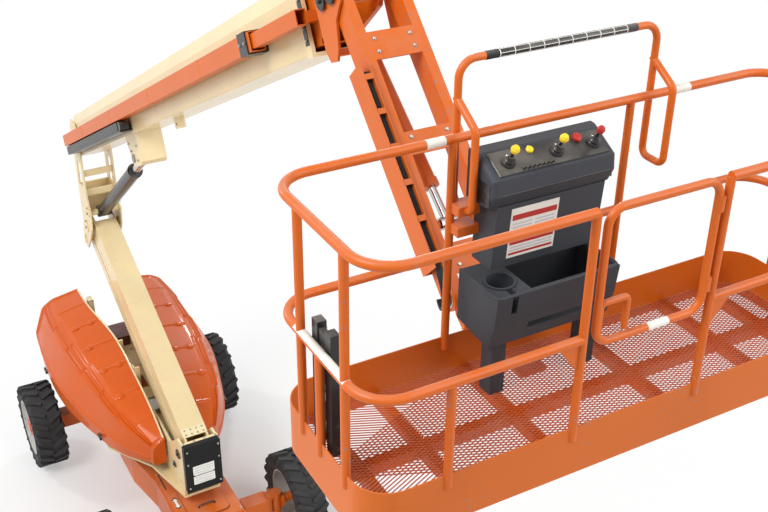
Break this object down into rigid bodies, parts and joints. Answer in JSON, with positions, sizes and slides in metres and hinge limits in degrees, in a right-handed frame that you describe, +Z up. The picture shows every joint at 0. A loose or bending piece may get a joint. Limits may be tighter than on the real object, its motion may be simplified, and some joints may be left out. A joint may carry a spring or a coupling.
{
  "type": "articulating boom lift",
  "caption": "Articulating boom lift, cream lower boom and telescoping main boom, orange jib, platform, hoods and chassis, with levelling upright, steering, swing and boom joints.",
  "frame": {"origin": "ground under the turntable's swing axis", "axes": "+X forward from the upright to the platform, +Y to the machine's left, +Z up"},
  "size_m": [9.0985, 2.478, 7.2761],
  "materials": {
    "orange": "gloss orange enamel",
    "cream": "gloss cream enamel",
    "dark_red": "dark red paint",
    "black": "satin black",
    "charcoal": "textured charcoal plastic",
    "rubber": "black tyre rubber",
    "silver": "silver-grey wheel paint",
    "chrome": "polished rod",
    "steel": "machined steel"
  },
  "bodies": {
    "chassis": {"chassis_frame": "orange", "front_deck": "orange", "front_axle": "orange", "rear_axle": "orange", "swing_bearing": "steel"},
    "knuckle_left": {"knuckle_left": "orange"},
    "knuckle_right": {"knuckle_right": "orange"},
    "turntable": {"turntable_frame": "cream", "counterweight": "dark_red", "engine_block": "black", "tank_block": "black", "pivot_cover": "black"},
    "hood_left": {"hood_left": "orange"},
    "hood_right": {"hood_right": "orange"},
    "lower_boom": {"lower_boom": "cream"},
    "timing_link": {"timing_link": "cream"},
    "upright": {"upright": "cream"},
    "main_boom": {"main_boom": "cream", "cable_tube": "orange", "tube_clamp": "black", "power_track": "black"},
    "fly_boom": {"fly_boom": "orange", "carrier_tube": "orange"},
    "jib_head": {"jib_head": "orange"},
    "jib": {"jib_arm": "orange"},
    "platform_support": {"platform_support": "orange"},
    "platform": {"toe_boards": "orange", "platform_floor": "orange", "rotator_bracket": "orange", "guard_rails": "orange", "guard_tube": "orange", "side_bracket": "black", "control_console": "charcoal", "tool_tray": "charcoal"},
    "gate": {"gate": "orange"},
    "wheel_front_left": {"tyre_front_left": "rubber", "rim_front_left": "silver"},
    "wheel_front_right": {"tyre_front_right": "rubber", "rim_front_right": "silver"},
    "wheel_rear_left": {"tyre_rear_left": "rubber", "rim_rear_left": "silver"},
    "wheel_rear_right": {"tyre_rear_right": "rubber", "rim_rear_right": "silver"},
    "lower_lift_barrel": {"lower_lift_barrel": "black"},
    "lower_lift_rod": {"lower_lift_rod": "chrome"},
    "main_lift_barrel": {"main_lift_barrel": "black"},
    "main_lift_rod": {"main_lift_rod": "chrome"},
    "jib_lift_barrel": {"jib_lift_barrel": "orange"},
    "jib_lift_rod": {"jib_lift_rod": "chrome"}
  },
  "joints": [
    {"name": "steer_left", "type": "hinge", "parent": "chassis", "child": "knuckle_left", "pos_m": [1.25, 0.81, 0.49], "axis": [0, 0, 1], "range_deg": [-35, 35]},
    {"name": "steer_right", "type": "hinge", "parent": "chassis", "child": "knuckle_right", "pos_m": [1.25, -0.81, 0.49], "axis": [0, 0, 1], "range_deg": [-35, 35]},
    {"name": "spin_front_left", "type": "hinge", "parent": "knuckle_left", "child": "wheel_front_left", "pos_m": [1.25, 1.0525, 0.49], "axis": [0, 1, 0], "continuous": true},
    {"name": "spin_front_right", "type": "hinge", "parent": "knuckle_right", "child": "wheel_front_right", "pos_m": [1.25, -1.0525, 0.49], "axis": [0, 1, 0], "continuous": true},
    {"name": "spin_rear_left", "type": "hinge", "parent": "chassis", "child": "wheel_rear_left", "pos_m": [-1.25, 1.0525, 0.49], "axis": [0, 1, 0], "continuous": true},
    {"name": "spin_rear_right", "type": "hinge", "parent": "chassis", "child": "wheel_rear_right", "pos_m": [-1.25, -1.0525, 0.49], "axis": [0, 1, 0], "continuous": true},
    {"name": "swing", "type": "hinge", "parent": "chassis", "child": "turntable", "pos_m": [0, 0, 1], "axis": [0, 0, 1], "range_deg": [-180, 180]},
    {"name": "open_hood_left", "type": "hinge", "parent": "turntable", "child": "hood_left", "pos_m": [0, 0.215, 1.785], "axis": [1, 0, 0], "range_deg": [0, 50]},
    {"name": "open_hood_right", "type": "hinge", "parent": "turntable", "child": "hood_right", "pos_m": [0, -0.215, 1.785], "axis": [-1, 0, 0], "range_deg": [0, 50]},
    {"name": "lower_lift", "type": "hinge", "parent": "turntable", "child": "lower_boom", "pos_m": [1.25, 0, 1.53], "axis": [0, 1, 0], "range_deg": [-24, 36]},
    {"name": "timing", "type": "hinge", "parent": "turntable", "child": "timing_link", "pos_m": [1.1, 0, 1.295], "axis": [0, 1, 0], "range_deg": [-24, 36]},
    {"name": "upright_level", "type": "hinge", "parent": "lower_boom", "child": "upright", "pos_m": [-1.47988, 0, 2.77408], "axis": [0, 1, 0], "range_deg": [-36, 24]},
    {"name": "main_lift", "type": "hinge", "parent": "upright", "child": "main_boom", "pos_m": [-1.53888, 0, 3.85408], "axis": [0, -1, 0], "range_deg": [-26.7, 48.3]},
    {"name": "telescope", "type": "slide", "parent": "main_boom", "child": "fly_boom", "axis": [0.8921, 0, 0.4518], "range_m": [0, 4]},
    {"name": "head_level", "type": "hinge", "parent": "fly_boom", "child": "jib_head", "pos_m": [4.72726, 0, 7.02772], "axis": [0, -1, 0], "range_deg": [-48.3, 26.7]},
    {"name": "jib_lift", "type": "hinge", "parent": "jib_head", "child": "jib", "pos_m": [4.82726, 0, 7.08772], "axis": [0, -1, 0], "range_deg": [-15, 115]},
    {"name": "platform_level", "type": "hinge", "parent": "jib", "child": "platform_support", "pos_m": [5.97278, 0, 5.9422], "axis": [0, -1, 0], "range_deg": [-115, 15]},
    {"name": "platform_rotate", "type": "hinge", "parent": "platform_support", "child": "platform", "pos_m": [6.08778, 0, 5.9422], "axis": [0, 0, 1], "range_deg": [-90, 90]},
    {"name": "open_gate", "type": "hinge", "parent": "platform", "child": "gate", "pos_m": [7.11728, 0.226, 6.6702], "axis": [0, 0, -1], "range_deg": [0, 90]},
    {"name": "lower_lift_barrel", "type": "hinge", "parent": "turntable", "child": "lower_lift_barrel", "pos_m": [1.2, 0, 1.17], "axis": [0, -1, 0], "range_deg": [-29.53, 19.69]},
    {"name": "lower_lift_rod", "type": "slide", "parent": "lower_lift_barrel", "child": "lower_lift_rod", "axis": [-0.8626, 0, 0.506], "range_m": [-0.139, 0.207]},
    {"name": "main_lift_barrel", "type": "hinge", "parent": "upright", "child": "main_lift_barrel", "pos_m": [-1.32988, 0, 3.01408], "axis": [0, -1, 0], "range_deg": [-21.83, 39.48]},
    {"name": "main_lift_rod", "type": "slide", "parent": "main_lift_barrel", "child": "main_lift_rod", "axis": [0.7999, 0, 0.6001], "range_m": [-0.327, 0.59]},
    {"name": "jib_lift_barrel", "type": "hinge", "parent": "jib_head", "child": "jib_lift_barrel", "pos_m": [4.83726, 0, 6.78272], "axis": [0, -1, 0], "range_deg": [-14.9, 114.13]},
    {"name": "jib_lift_rod", "type": "slide", "parent": "jib_lift_barrel", "child": "jib_lift_rod", "axis": [0.7895, 0, -0.6138], "range_m": [-0.072, 0.544]}
  ],
  "couplings": [
    {"joint": "steer_right", "follows": "steer_left", "ratio": 1},
    {"joint": "timing", "follows": "lower_lift", "ratio": 1},
    {"joint": "upright_level", "follows": "lower_lift", "ratio": -1},
    {"joint": "head_level", "follows": "main_lift", "ratio": -1},
    {"joint": "platform_level", "follows": "jib_lift", "ratio": -1},
    {"joint": "lower_lift_barrel", "follows": "lower_lift", "ratio": -0.82},
    {"joint": "lower_lift_rod", "follows": "lower_lift", "m_per_rad": 0.3271},
    {"joint": "main_lift_barrel", "follows": "main_lift", "ratio": 0.81699},
    {"joint": "main_lift_rod", "follows": "main_lift", "m_per_rad": 0.69833},
    {"joint": "jib_lift_barrel", "follows": "jib_lift", "ratio": 0.99227},
    {"joint": "jib_lift_rod", "follows": "jib_lift", "m_per_rad": 0.27047}
  ]
}
